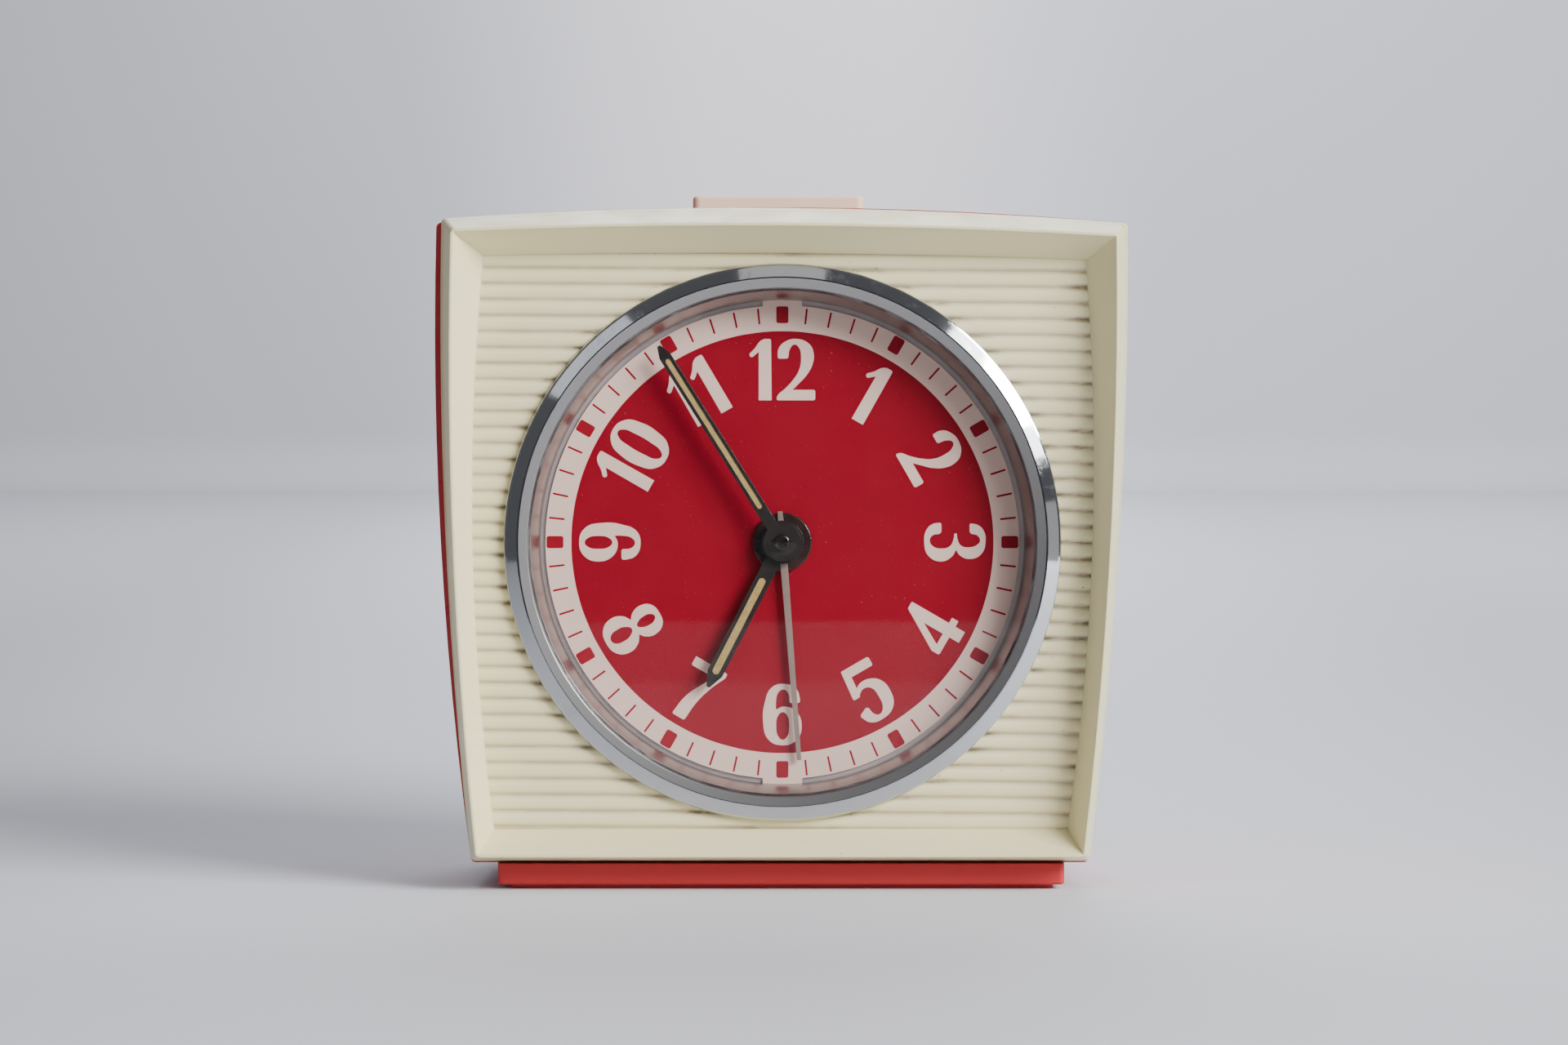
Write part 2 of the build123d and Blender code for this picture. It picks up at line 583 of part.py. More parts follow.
def spiral(turns, inner, outer, y_back, high, thick, at, name, start=0.0):
    """A flat coiled spring whose inner end meets its arbor."""
    steps = int(turns * 24)
    inside, outside = [], []
    for k in range(steps + 1):
        a = math.radians(start) + 2 * math.pi * turns * k / steps
        r = inner + (outer - inner) * k / steps
        inside.append((r * math.cos(a), r * math.sin(a)))
        outside.append(((r + thick) * math.cos(a), (r + thick) * math.sin(a)))
    with BuildPart() as spring:
        with BuildSketch(facing(y_back, at)):
            with BuildLine():
                Spline(*inside)
                Line(inside[-1], outside[-1])
                Spline(*reversed(outside))
                Line(outside[0], inside[0])
            make_face()
        extrude(amount=high)
    save(spring, name)


spiral(7, 2.75, 11.3, 4.0, 9.4, 0.35, TIME_MAIN_AT, "time_mainspring")
spiral(6, 2.75, 9.9, 4.0, 9.4, 0.35, ALARM_MAIN_AT, "alarm_mainspring", 90)

# --- going train --------------------------------------------------------------------------------
with BuildPart() as time_great_wheel:
    wheel(48, 0.6, 32.3, -8.6, 1.0, TIME_MAIN_AT, 1.3 + FIT, hub=3.6)
save(time_great_wheel, "time_great_wheel")

with BuildPart() as centre_wheel:
    with BuildSketch(facing(-8.0)):
        gear(12, 0.6, mesh_phase(32.3, 12))
        Circle(0.75 + FIT, mode=Mode.SUBTRACT)
    extrude(amount=2.2)
    wheel(64, 0.4, 60, -6.8, 0.8, CENTRE, 0.75 + FIT, hub=3.0)
    with BuildSketch(facing(-6.8)):
        Circle(2.2)
        Circle(0.75 + FIT, mode=Mode.SUBTRACT)
    extrude(amount=1.2)
save(centre_wheel, "centre_wheel")

with BuildPart() as third_wheel:
    with BuildSketch(facing(-6.2, THIRD_AT)):
        gear(8, 0.4, mesh_phase(60, 8))
    extrude(amount=2.0)
    wheel(60, 0.35, 150, -2.8, 0.7, THIRD_AT, 0)
    shaft([(FRONT_PLATE_Y + 0.2, REAR_PLATE_Y + 1.0, 0.6)], THIRD_AT)
save(third_wheel, "third_wheel")

with BuildPart() as fourth_wheel:
    with BuildSketch(facing(-2.2, FOURTH_AT)):
        gear(8, 0.35, mesh_phase(150, 8))
    extrude(amount=1.9)
    wheel(64, 0.3, 190, 0.7, 0.7, FOURTH_AT, 0)
    shaft([(FRONT_PLATE_Y + 0.2, REAR_PLATE_Y + 1.0, 0.5)], FOURTH_AT)
save(fourth_wheel, "fourth_wheel")

with BuildPart() as escape_wheel:
    with BuildSketch(facing(1.3, ESCAPE_AT)):
        gear(8, 0.3, mesh_phase(190, 8))
    extrude(amount=1.9)
    with BuildSketch(facing(3.1, ESCAPE_AT)):
        sawtooth(15, 5.0, 3.7, 200 - 12)
        with PolarLocations(2.45, 5):
            Circle(0.75, mode=Mode.SUBTRACT)
    extrude(amount=0.5)
    shaft([(FRONT_PLATE_Y + 0.2, REAR_PLATE_Y + 1.0, 0.45)], ESCAPE_AT)
save(escape_wheel, "escape_wheel")

with BuildPart() as pallet_lever:
    with BuildSketch(facing(4.4, PALLET_AT)):
        Circle(0.9)
        with BuildLine():
            Polyline((0.6, -0.5), (2.1, 2.7), (1.5, 3.0), (-0.5, 0.6), close=True)
        make_face()
        with BuildLine():
            Polyline((-0.4, -0.6), (2.9, -1.7), (3.1, -1.1), (0.3, 0.6), close=True)
        make_face()
        with BuildLine():
            Polyline((0.5, -0.3), (-1.6, -4.5), (-2.2, -4.2), (-0.5, 0.4), close=True)
        make_face()
    extrude(amount=0.6)
    shaft([(FRONT_PLATE_Y + 0.2, REAR_PLATE_Y + 1.0, 0.4)], PALLET_AT)
save(pallet_lever, "pallet_lever")

with BuildPart() as balance_wheel:
    with BuildSketch(facing(0.6, BALANCE_AT)):
        Circle(7.0)
        Circle(5.9, mode=Mode.SUBTRACT)
        Rectangle(12.4, 0.9, rotation=20)
        Circle(1.5)
        Circle(0.5, mode=Mode.SUBTRACT)
    extrude(amount=1.2)
save(balance_wheel, "balance_wheel")

with BuildPart() as balance_staff:
    shaft([(-11.6, 6.8, 0.5), (2.9, 3.5, 1.0)], BALANCE_AT)
save(balance_staff, "balance_staff")

spiral(5, 0.85, 3.6, -1.6, 0.25, 0.1, BALANCE_AT, "hairspring")

with BuildPart() as hairspring_collet:
    with BuildSketch(facing(-1.4, BALANCE_AT)):
        Circle(0.85)
        Circle(0.5, mode=Mode.SUBTRACT)
    extrude(amount=0.7)
save(hairspring_collet, "hairspring_collet")

with BuildPart() as regulator_lever:
    with BuildSketch(facing(REAR_PLATE_Y + PLATE_THICK + 1.3, BALANCE_AT)):
        Circle(3.2)
        Rectangle(REGULATOR_REACH + 0.8, 1.4, rotation=90, align=(Align.MIN, Align.CENTER))
        Circle(2.05, mode=Mode.SUBTRACT)
    extrude(amount=0.6)
    with BuildSketch(facing(22.6, turn(90, REGULATOR_REACH, BALANCE_AT))):
        Circle(0.7)
    extrude(amount=22.6 - (REAR_PLATE_Y + PLATE_THICK + 1.0))
save(regulator_lever, "regulator_lever")

# --- alarm ----------------------------------------------------------------------------------------
with BuildPart() as alarm_great_wheel:
    wheel(40, 0.6, 50, -8.6, 1.0, ALARM_MAIN_AT, 1.3 + FIT, hub=3.6)
save(alarm_great_wheel, "alarm_great_wheel")

with BuildPart() as alarm_escape_wheel:
    with BuildSketch(facing(-8.2, ALARM_ESCAPE_AT)):
        gear(8, 0.6, mesh_phase(50, 8))
    extrude(amount=1.9)
    with BuildSketch(facing(-7.2, ALARM_ESCAPE_AT)):
        sawtooth(20, 5.0, 3.9, 98 - 9)
        with PolarLocations(2.5, 5):
            Circle(0.75, mode=Mode.SUBTRACT)
    extrude(amount=0.7)
    shaft([(FRONT_PLATE_Y + 0.2, REAR_PLATE_Y + 1.0, 0.6)], ALARM_ESCAPE_AT)
save(alarm_escape_wheel, "alarm_escape_wheel")

HAMMER_HEAD_AT = (20.4, 20.6)
with BuildPart() as hammer:
    reach = (HAMMER_HEAD_AT[0] - HAMMER_AT[0], HAMMER_HEAD_AT[1] - HAMMER_AT[1])
    lean = math.degrees(math.atan2(reach[1], reach[0]))
    shaft([(FRONT_PLATE_Y + 0.2, 12.6, 0.6)], HAMMER_AT)
    with BuildSketch(facing(-7.3, HAMMER_AT)):  # the arm that the alarm escape wheel kicks
        Circle(1.3)
        Rectangle(3.85, 0.8, rotation=-82, align=(Align.MIN, Align.CENTER))
    extrude(amount=0.6)
    with BuildSketch(facing(12.6, HAMMER_AT)):
        Circle(1.4)
        Rectangle(math.hypot(*reach), 0.9, rotation=lean, align=(Align.MIN, Align.CENTER))
    extrude(amount=0.8)
    with BuildSketch(facing(14.4, HAMMER_HEAD_AT)):
        Circle(2.0)
    extrude(amount=4.4)
save(hammer, "hammer")

with BuildPart() as bell:
    with BuildSketch(lengthwise(BELL_AT)):
        with BuildLine():
            Polyline((1.1, 15.6), (1.1, 16.2), (4.0, 16.2))
            ThreePointArc((4.0, 16.2), (7.6, 14.9), (9.4, 11.2))
            Line((9.4, 11.2), (9.0, 11.0))
            ThreePointArc((9.0, 11.0), (7.2, 14.4), (4.0, 15.6))
            Line((4.0, 15.6), (1.1, 15.6))
        make_face()
    revolve(axis=arbor_axis(BELL_AT))
save(bell, "bell")

with BuildPart() as bell_post:
    shaft([(REAR_PLATE_Y + PLATE_THICK, 15.6, 1.8), (15.6, 16.8, 1.1)], BELL_AT)
save(bell_post, "bell_post")

# --- plates -----------------------------------------------------------------------------------------
RUNNING = (
    (THIRD_AT, 0.6), (FOURTH_AT, 0.5), (ESCAPE_AT, 0.45), (PALLET_AT, 0.4), (BALANCE_AT, 0.5),
    (TIME_MAIN_AT, 1.3), (ALARM_MAIN_AT, 1.3), (CENTRE, 0.75), (ALARM_SET_AT, 0.75),
    (ALARM_ESCAPE_AT, 0.6), (HAMMER_AT, 0.6),
)
with BuildPart() as front_plate:
    with BuildSketch(facing(FRONT_PLATE_Y + PLATE_THICK)):
        RectangleRounded(2 * PLATE_HALF_X, 2 * PLATE_HALF_Z, 4)
        for at, r in RUNNING + ((MINUTE_WHEEL_AT, 0.6),):
            with Locations(at):
                Circle(r + FIT, mode=Mode.SUBTRACT)
        with GridLocations(2 * PILLAR_X, 2 * PILLAR_Z, 2, 2):
            Circle(1.5, mode=Mode.SUBTRACT)
    extrude(amount=PLATE_THICK)
save(front_plate, "front_plate")

with BuildPart() as rear_plate:
    with BuildSketch(facing(REAR_PLATE_Y + PLATE_THICK)):
        RectangleRounded(2 * PLATE_HALF_X, 2 * PLATE_HALF_Z, 4)
        for at, r in RUNNING:
            with Locations(at):
                Circle(r + FIT, mode=Mode.SUBTRACT)
        with GridLocations(2 * PILLAR_X, 2 * PILLAR_Z, 2, 2):
            Circle(1.5, mode=Mode.SUBTRACT)
    extrude(amount=PLATE_THICK)
    # boss that the regulator turns on
    with BuildSketch(facing(REAR_PLATE_Y + PLATE_THICK + 2.0, BALANCE_AT)):
        Circle(2.0)
        Circle(0.5 + FIT, mode=Mode.SUBTRACT)
    extrude(amount=2.0)
save(rear_plate, "rear_plate")

corner = 0
for px in (-PILLAR_X, PILLAR_X):
    for pz in (-PILLAR_Z, PILLAR_Z):
        corner += 1
        with BuildPart() as pillar:
            shaft([(-16.4, 8.4, 1.5), (FRONT_PLATE_Y + PLATE_THICK, REAR_PLATE_Y, 2.2),
                   (-16.4, FRONT_PLATE_Y, 2.2),
                   (REAR_PLATE_Y + PLATE_THICK, 8.4, 2.4)], (px, pz))
        save(pillar, f"pillar_{corner}")

# --- stop button --------------------------------------------------------------------------------------
with BuildPart() as stop_button:
    with BuildSketch(Plane.XY.offset(98.2)):
        with Locations((BUTTON_X, BUTTON_Y)):
            RectangleRounded(BUTTON_WIDTH, BUTTON_DEPTH, 1.2)
    extrude(amount=BUTTON_TOP_Z - 98.2)
    fillet(stop_button.faces().sort_by(Axis.Z)[-1].edges(), 0.5)
    with BuildSketch(Plane.XY.offset(98.2)):  # flange that keeps it in the case
        with Locations((BUTTON_X, BUTTON_Y)):
            Rectangle(BUTTON_WIDTH + 3, BUTTON_DEPTH + 3)
    extrude(amount=2.2)
    with BuildSketch(Plane.XY.offset(90)):  # stem
        with Locations((BUTTON_X, BUTTON_Y)):
            Rectangle(12.0, 2.5)
    extrude(amount=9)
save(stop_button, "stop_button")
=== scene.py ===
import bpy, json, math
from mathutils import Matrix, Vector


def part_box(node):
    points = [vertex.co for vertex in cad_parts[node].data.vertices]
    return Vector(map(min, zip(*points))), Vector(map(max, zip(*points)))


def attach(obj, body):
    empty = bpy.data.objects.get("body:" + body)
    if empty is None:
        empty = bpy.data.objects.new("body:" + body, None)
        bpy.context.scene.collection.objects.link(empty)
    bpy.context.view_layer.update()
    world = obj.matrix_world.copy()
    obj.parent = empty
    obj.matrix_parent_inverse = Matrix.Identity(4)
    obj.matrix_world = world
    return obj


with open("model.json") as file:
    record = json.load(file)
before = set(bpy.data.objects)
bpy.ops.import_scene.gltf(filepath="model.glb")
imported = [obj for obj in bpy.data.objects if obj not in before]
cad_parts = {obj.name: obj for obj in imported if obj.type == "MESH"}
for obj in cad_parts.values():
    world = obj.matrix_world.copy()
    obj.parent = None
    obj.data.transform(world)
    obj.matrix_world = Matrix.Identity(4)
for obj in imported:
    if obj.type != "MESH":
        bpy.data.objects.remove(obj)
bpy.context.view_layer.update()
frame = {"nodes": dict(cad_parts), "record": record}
nodes = frame["nodes"]

MM = 0.001
dial_low, dial_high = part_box("dial")
DIAL_X = (dial_low.x + dial_high.x) / 2
DIAL_Z = (dial_low.z + dial_high.z) / 2
DIAL_FACE = dial_low.y  # the dial's front
DIAL_R = (dial_high.x - dial_low.x) / 2
ring_low, ring_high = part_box("chrome_ring")
RING_R = (ring_high.x - ring_low.x) / 2


# ------------------------------------------------------------------------------ materials
class Mat:
    """A node material built around one Principled shader. Coordinates are the object's own, in metres."""

    def __init__(self, name, colour, rough=0.4, metallic=0.0, **sockets):
        self.mat = bpy.data.materials.new(name)
        self.mat.use_nodes = True
        self.nt = self.mat.node_tree
        self.nt.nodes.clear()
        self.out = self.new("ShaderNodeOutputMaterial")
        self.bsdf = self.new("ShaderNodeBsdfPrincipled")
        self.link(self.bsdf.outputs[0], self.out.inputs[0])
        self.bsdf.inputs["Base Color"].default_value = (*colour, 1)
        self.bsdf.inputs["Roughness"].default_value = rough
        self.bsdf.inputs["Metallic"].default_value = metallic
        for k, v in sockets.items():
            self.bsdf.inputs[k.replace("_", " ")].default_value = v
        self.coords = self.new("ShaderNodeTexCoord").outputs["Object"]
        self.mat.diffuse_color = (*colour, 1)

    def new(self, kind):
        return self.nt.nodes.new(kind)

    def link(self, a, b):
        self.nt.links.new(a, b)

    def noise(self, scale, detail=3.0, rough=0.55, stretch=None):
        n = self.new("ShaderNodeTexNoise")
        n.inputs["Scale"].default_value = scale
        n.inputs["Detail"].default_value = detail
        n.inputs["Roughness"].default_value = rough
        vector = self.coords
        if stretch:
            m = self.new("ShaderNodeMapping")
            m.inputs["Scale"].default_value = stretch
            self.link(vector, m.inputs["Vector"])
            vector = m.outputs[0]
        self.link(vector, n.inputs["Vector"])
        return n.outputs["Fac"]

    def ramp(self, value, low, high, a=0.0, b=1.0):
        """A smooth step from a to b as the value goes from low to high."""
        r = self.new("ShaderNodeMapRange")
        r.interpolation_type = "SMOOTHSTEP"
        r.inputs["From Min"].default_value = low
        r.inputs["From Max"].default_value = high
        r.inputs["To Min"].default_value = a
        r.inputs["To Max"].default_value = b
        self.link(value, r.inputs["Value"])
        return r.outputs["Result"]

    def math(self, op, a, b):
        m = self.new("ShaderNodeMath")
        m.operation = op
        for s, v in zip(m.inputs, (a, b)):
            if isinstance(v, (int, float)):
                s.default_value = v
            else:
                self.link(v, s)
        return m.outputs[0]

    def axis(self, which):
        s = self.new("ShaderNodeSeparateXYZ")
        self.link(self.coords, s.inputs[0])
        return s.outputs[which]

    def from_dial(self):
        """Distance from the dial's axis."""
        x = self.math("SUBTRACT", self.axis(0), DIAL_X)
        z = self.math("SUBTRACT", self.axis(2), DIAL_Z)
        squares = self.math("ADD", self.math("MULTIPLY", x, x), self.math("MULTIPLY", z, z))
        return self.math("SQRT", squares, 0.0)

    def tint(self, factor, colour):
        """Mixes the base colour made so far towards another one, by a factor socket."""
        m = self.new("ShaderNodeMix")
        m.data_type = "RGBA"
        base = self.bsdf.inputs["Base Color"]
        if base.is_linked:
            self.link(base.links[0].from_socket, m.inputs[6])
        else:
            m.inputs[6].default_value = base.default_value
        m.inputs[7].default_value = (*colour, 1)
        self.link(factor, m.inputs[0])
        self.link(m.outputs[2], base)

    def roughness(self, value, low, high):
        self.link(self.ramp(value, 0.3, 0.7, low, high), self.bsdf.inputs["Roughness"])

    def bump(self, value, height, soft=None):
        """Relief of a height in metres; soft rounds the look of sharp edges within that radius."""
        b = self.new("ShaderNodeBump")
        b.inputs["Strength"].default_value = 1.0
        b.inputs["Distance"].default_value = height
        self.link(value, b.inputs["Height"])
        if soft:
            e = self.new("ShaderNodeBevel")
            e.samples = 4
            e.inputs["Radius"].default_value = soft
            self.link(e.outputs[0], b.inputs["Normal"])
        self.link(b.outputs[0], self.bsdf.inputs["Normal"])


def use(material, *names):
    for n in names:
        mesh = nodes[n].data
        mesh.materials.clear()
        mesh.materials.append(material.mat)


def plastic(name, colour, shade, rough, grain=900.0, height=4e-6, soft=0.0003, **k):
    m = Mat(name, colour, rough, **k)
    blotch = m.noise(38.0, 4.0)
    m.tint(m.ramp(blotch, 0.35, 0.75, 0.0, 0.35), shade)
    m.roughness(m.noise(160.0, 5.0), rough - 0.07, rough + 0.10)
    m.bump(m.noise(grain, 3.0, 0.6), height, soft=soft)
    return m


# cream: a moulded plastic, with painted shade in the grooves between the ribs, darkest next to the ring, and
# a painted shadow along the right wall
cream = plastic("cream_plastic", (0.805, 0.735, 0.435), (0.785, 0.695, 0.395), 0.36, soft=0.00035)
RIB_CREST, GROOVE_FLOOR = -0.02398, -0.02364  # depths between which the painted shade in the grooves sets in
PANEL_BACK = (-0.02359, -0.02350)  # depths where the ribbed panel ends, so that the rest gets none of the painted shade
WALL_FOOT = (0.0415, 0.0450)  # the right-hand strip of the panel, along the tray's wall, where the wall's shadow is painted
in_tray = cream.ramp(cream.axis(1), *PANEL_BACK, 1.0, 0.0)
# painted shade: the grooves turn darker the deeper they go, in patches
groove = cream.math("MULTIPLY", cream.ramp(cream.axis(1), RIB_CREST, GROOVE_FLOOR), in_tray)
patchy = cream.ramp(cream.noise(420.0, 4.0, 0.7, (0.25, 1, 1)), 0.30, 0.62, 0.55, 1.0)
cream.tint(cream.math("MULTIPLY", groove, patchy), (0.56, 0.47, 0.29))
# painted shade, dark brown and patchy, in the grooves right next to the ring
shade_patches = cream.ramp(cream.noise(300.0, 5.0, 0.7, (0.3, 1, 1)), 0.44, 0.62)
by_ring = cream.ramp(cream.from_dial(), RING_R + 0.0001, RING_R + 0.0030, 1.0, 0.0)
near_ring = cream.math("MULTIPLY", by_ring, groove)
ring_shade = cream.math("MULTIPLY", near_ring, cream.ramp(shade_patches, 0, 1, 0.25, 0.95))
cream.tint(ring_shade, (0.13, 0.10, 0.06))
# painted shadow of the tray's right wall on the grooves along it
by_wall = cream.ramp(cream.axis(0), *WALL_FOOT)
wall_shadow = cream.math("MULTIPLY", by_wall, groove)
cream.tint(cream.math("MULTIPLY", wall_shadow, shade_patches), (0.20, 0.15, 0.09))
specks = cream.ramp(cream.noise(950.0, 2.0), 0.765, 0.80)
cream.tint(specks, (0.12, 0.09, 0.06))
use(cream, "front_bezel")

button = plastic("button_plastic", (0.90, 0.68, 0.49), (0.87, 0.63, 0.44), 0.38)
use(button, "stop_button")

red_case = plastic("case_red", (0.43, 0.026, 0.034), (0.38, 0.021, 0.028), 0.34)
use(red_case, "case_body")
red_cover = plastic("cover_red", (0.31, 0.018, 0.023), (0.26, 0.014, 0.018), 0.46, grain=1500.0, height=9e-6)
use(red_cover, "rear_cover")
red_base = plastic("plinth_red", (0.47, 0.026, 0.030), (0.43, 0.022, 0.026), 0.38, Specular_IOR_Level=0.3)
use(red_base, "base_plinth")

chrome = Mat("chrome", (0.51, 0.52, 0.53), 0.09, 1.0)
chrome.tint(chrome.ramp(chrome.noise(130.0, 6.0, 0.7), 0.55, 0.80, 0.0, 0.35), (0.40, 0.38, 0.36))
# inside this radius the ring slopes towards the crystal, and is made darker and rougher to match the photo
INNER_SLOPE = (0.03975, 0.03995)
DULL = 0.34  # the slope's roughness
inner = chrome.ramp(chrome.from_dial(), *INNER_SLOPE, 1.0, 0.0)
chrome.tint(inner, (0.37, 0.36, 0.355))
worn = chrome.ramp(chrome.noise(260.0, 6.0, 0.75), 0.50, 0.80, 0.05, 0.22)
chrome_rough = chrome.math("MAXIMUM", worn, chrome.math("MULTIPLY", inner, DULL))
chrome.link(chrome_rough, chrome.bsdf.inputs["Roughness"])
chrome.bump(chrome.noise(620.0, 4.0, 0.6), 1.2e-6, soft=0.00012)
use(chrome, "chrome_ring")

dial_red = Mat("dial_red", (0.243, 0.0013, 0.012), 0.5, Specular_IOR_Level=0.12)
dial_red.tint(dial_red.ramp(dial_red.noise(55.0, 5.0), 0.45, 0.8, 0.0, 0.5), (0.220, 0.0013, 0.012))
dial_red.tint(dial_red.ramp(dial_red.noise(2600.0, 2.0), 0.70, 0.78), (0.36, 0.08, 0.09))
dial_red.roughness(dial_red.noise(200.0, 4.0), 0.44, 0.58)
dial_red.bump(dial_red.noise(1800.0, 3.0), 1.5e-6)
use(dial_red, "dial")

print_white = Mat("dial_print", (0.73, 0.52, 0.44), 0.55, Specular_IOR_Level=0.2)
print_white.tint(print_white.ramp(print_white.noise(70.0, 5.0), 0.40, 0.75, 0.0, 0.4), (0.69, 0.475, 0.40))
print_white.roughness(print_white.noise(300.0, 3.0), 0.44, 0.58)
print_white.bump(print_white.noise(2200.0, 3.0), 1.5e-6)

mark_red = Mat("dial_mark", (0.27, 0.003, 0.014), 0.5, Specular_IOR_Level=0.12)
mark_red.tint(mark_red.ramp(mark_red.noise(700.0, 3.0), 0.4, 0.7, 0.0, 0.4), (0.24, 0.006, 0.018))
mark_red.bump(mark_red.noise(1800.0, 3.0), 1.0e-6)

# a grey seat, lightened and turned pink in part as a painted reflection of the dial's track
seat = Mat("seat_grey_painted_reflection", (0.52, 0.44, 0.42), 0.35, 0.5)
seat.tint(seat.ramp(seat.noise(180.0, 5.0), 0.4, 0.7, 0.0, 0.6), (0.40, 0.34, 0.34))
seat.bump(seat.noise(900.0, 3.0), 3e-6)
use(seat, "dial_seat")

hand_black = Mat("hand_black", (0.017, 0.013, 0.012), 0.26)
hand_black.tint(hand_black.ramp(hand_black.noise(420.0, 4.0), 0.45, 0.75, 0.0, 0.5), (0.034, 0.028, 0.026))
hand_black.bump(hand_black.noise(900.0, 3.0), 1.5e-6, soft=0.00012)
use(hand_black, "hour_hand", "minute_hand")

lume = Mat("lume", (0.42, 0.295, 0.095), 0.75)
lume.tint(lume.ramp(lume.noise(900.0, 5.0, 0.7), 0.38, 0.66), (0.34, 0.23, 0.075))
lume.tint(lume.ramp(lume.noise(2600.0, 2.0), 0.62, 0.75), (0.16, 0.11, 0.06))
lume.bump(lume.noise(3000.0, 3.0, 0.7), 1.6e-5)
use(lume, "hour_lume", "minute_lume")

alarm_grey = Mat("alarm_grey", (0.25, 0.185, 0.155), 0.40, 0.2)
alarm_grey.tint(alarm_grey.ramp(alarm_grey.noise(500.0, 4.0), 0.4, 0.7, 0.0, 0.5), (0.20, 0.145, 0.12))
alarm_grey.bump(alarm_grey.noise(1300.0, 3.0), 1.5e-6, soft=0.0001)
use(alarm_grey, "alarm_hand")

collet = Mat("collet_brown", (0.022, 0.010, 0.009), 0.20)
collet.tint(collet.ramp(collet.noise(500.0, 4.0), 0.45, 0.75, 0.0, 0.5), (0.045, 0.022, 0.018))
collet.bump(collet.noise(1200.0, 3.0), 1.5e-6)
use(collet, "alarm_disc")


def metal(name, colour, dark, rough):
    m = Mat(name, colour, rough, 1.0)
    m.tint(m.ramp(m.noise(140.0, 5.0, 0.65), 0.42, 0.78, 0.0, 0.55), dark)
    m.roughness(m.noise(600.0, 4.0, 0.6), rough - 0.07, rough + 0.13)
    m.bump(m.noise(1200.0, 3.0, 0.6), 2e-6, soft=0.00012)
    return m


brass = metal("brass", (0.71, 0.53, 0.24), (0.42, 0.29, 0.12), 0.26)
steel = metal("steel", (0.55, 0.55, 0.56), (0.33, 0.32, 0.31), 0.27)
black_steel = metal("blued_steel", (0.12, 0.14, 0.20), (0.07, 0.07, 0.09), 0.28)
boss_steel = metal("boss_steel", (0.06, 0.055, 0.055), (0.03, 0.028, 0.028), 0.24)
nickel = metal("nickel", (0.66, 0.63, 0.57), (0.42, 0.38, 0.32), 0.22)
by_slot = {"brass": brass, "steel": steel, "spring_steel": black_steel}
for part in frame["record"]["subparts"]:
    if part["material_slot"] in by_slot:
        use(by_slot[part["material_slot"]], part["node"])
use(boss_steel, "hand_nut", "centre_arbor")
use(nickel, "time_winding_key", "alarm_winding_key", "hand_setting_knob", "alarm_setting_knob")

# crystal: clear acrylic that lets the light through to the dial and mirrors at its surface;
# it doesn't bend the light and casts no shadow
MIRROR_FACE_ON = 0.023  # the share of light mirrored face on; at a grazing angle it is all of it
glass = bpy.data.materials.new("crystal")
glass.use_nodes = True
nt = glass.node_tree
nt.nodes.clear()


def glass_node(kind, **values):
    n = nt.nodes.new(kind)
    for key, value in values.items():
        n.inputs[key].default_value = value
    return n


def glass_math(op, value, *constants):
    n = nt.nodes.new("ShaderNodeMath")
    n.operation = op
    nt.links.new(value, n.inputs[0])
    for socket, constant in zip(n.inputs[1:], constants):
        socket.default_value = constant
    return n.outputs[0]


clear = glass_node("ShaderNodeBsdfTransparent", Color=(0.975, 0.975, 0.97, 1))
gloss = glass_node("ShaderNodeBsdfGlossy", Roughness=0.03)
facing = glass_node("ShaderNodeLayerWeight", Blend=0.5)
edge = glass_math("POWER", facing.outputs["Facing"], 5.0)
mirror = glass_math("MULTIPLY_ADD", edge, 1 - MIRROR_FACE_ON, MIRROR_FACE_ON)
scratch = glass_node("ShaderNodeTexNoise", Scale=90.0, Detail=4.0)
lift = glass_node("ShaderNodeBump", Distance=4e-6)
mix = glass_node("ShaderNodeMixShader")
nt.links.new(glass_node("ShaderNodeTexCoord").outputs["Object"], scratch.inputs["Vector"])
nt.links.new(scratch.outputs["Fac"], lift.inputs["Height"])
nt.links.new(lift.outputs[0], gloss.inputs["Normal"])
nt.links.new(mirror, mix.inputs[0])
nt.links.new(clear.outputs[0], mix.inputs[1])
nt.links.new(gloss.outputs[0], mix.inputs[2])
nt.links.new(mix.outputs[0], glass_node("ShaderNodeOutputMaterial").inputs[0])
nodes["crystal"].data.materials.clear()
nodes["crystal"].data.materials.append(glass)
nodes["crystal"].visible_shadow = False


# ------------------------------------------------------------------------------ dial printing
PRINT_THICK, MARK_THICK = 0.03, 0.012  # in millimetres


